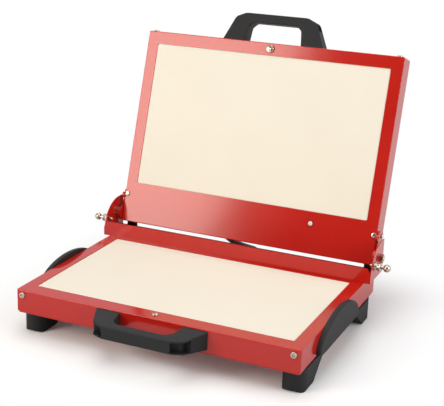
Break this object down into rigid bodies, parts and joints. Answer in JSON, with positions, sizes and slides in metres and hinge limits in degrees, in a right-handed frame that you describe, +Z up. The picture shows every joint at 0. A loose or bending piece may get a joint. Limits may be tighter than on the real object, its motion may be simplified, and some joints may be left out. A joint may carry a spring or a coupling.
{
  "type": "tigella maker",
  "caption": "Electric countertop cooker: shallow red housing and hinged lid with facing flat plates, U handles, side grips, feet, rear hinge bracket and lock pins.",
  "frame": {"origin": "bottom centre of the open appliance's bounding box, on the table", "axes": "+Z up; +X to the right of someone facing the front handle; -Y towards that person; the hinge axis runs along X at the rear"},
  "size_m": [0.5574, 0.5282, 0.474],
  "materials": {
    "red_paint": "gloss red enamel on folded sheet steel",
    "charcoal_plastic": "fine-textured moulded charcoal plastic",
    "cream_coating": "smooth cream non-stick coating on an aluminium plate",
    "mineral_blanket": "mineral-fibre insulation board",
    "lead_sheath": "ribbed dark grey sheath",
    "black_plastic": "black moulded plastic",
    "terminal_plastic": "pale moulded terminal block",
    "brass_blades": "bright contact blades",
    "lamp_lens": "pale translucent lamp lens",
    "dark_steel": "black painted steel",
    "element_steel": "dull sheathed heating tube",
    "thermostat_metal": "pressed cap",
    "nickel_steel": "nickel-plated steel"
  },
  "bodies": {
    "base": {"base_bottom_plate": "red_paint", "base_casing": "red_paint", "base_centre_stud": "nickel_steel", "base_front_screws": "nickel_steel", "base_lead_gland": "black_plastic", "bracket_screws": "nickel_steel", "foot_screws": "nickel_steel", "front_foot_left": "charcoal_plastic", "front_foot_right": "charcoal_plastic", "front_handle": "charcoal_plastic", "front_handle_screws": "nickel_steel", "inlet_blades": "brass_blades", "inlet_screws": "nickel_steel", "lid_stop_left": "dark_steel", "lid_stop_right": "dark_steel", "link_lead": "lead_sheath", "lock_bush_left": "nickel_steel", "lock_bush_right": "nickel_steel", "lower_heating_element": "element_steel", "lower_insulation": "mineral_blanket", "lower_plate": "cream_coating", "lower_thermostat": "thermostat_metal", "power_inlet": "black_plastic", "rear_foot_left": "charcoal_plastic", "rear_foot_right": "charcoal_plastic", "rear_hinge_bracket": "red_paint", "side_grip_left": "charcoal_plastic", "side_grip_right": "charcoal_plastic", "side_grip_screws_left": "nickel_steel", "side_grip_screws_right": "nickel_steel", "terminal_block": "terminal_plastic"},
    "lid": {"hinge_arm_left": "red_paint", "hinge_arm_right": "red_paint", "hinge_arm_screws_left": "nickel_steel", "hinge_arm_screws_right": "nickel_steel", "lamp_bezel": "black_plastic", "lid_centre_stud": "nickel_steel", "lid_corner_screws": "nickel_steel", "lid_cover": "red_paint", "lid_frame": "red_paint", "lid_front_screws": "nickel_steel", "lid_handle": "charcoal_plastic", "lid_handle_screws": "nickel_steel", "lid_lead_gland": "black_plastic", "pilot_lamp": "lamp_lens", "pivot_nut_left": "nickel_steel", "pivot_nut_right": "nickel_steel", "pivot_stud_left": "nickel_steel", "pivot_stud_right": "nickel_steel", "upper_heating_element": "element_steel", "upper_insulation": "mineral_blanket", "upper_plate": "cream_coating", "upper_thermostat": "thermostat_metal"},
    "lock_left": {"lock_pin_left": "nickel_steel"},
    "lock_right": {"lock_pin_right": "nickel_steel"}
  },
  "joints": [
    {"name": "lid_hinge", "type": "hinge", "parent": "base", "child": "lid", "pos_m": [0, 0.12751, 0.10539], "axis": [1, 0, 0], "range_deg": [0, 107.2], "deforming": ["link_lead"]},
    {"name": "lock_pin_left_slide", "type": "slide", "parent": "base", "child": "lock_left", "axis": [1, 0, 0], "range_m": [0, 0.0035]},
    {"name": "lock_pin_right_slide", "type": "slide", "parent": "base", "child": "lock_right", "axis": [-1, 0, 0], "range_m": [0, 0.0035]}
  ]
}
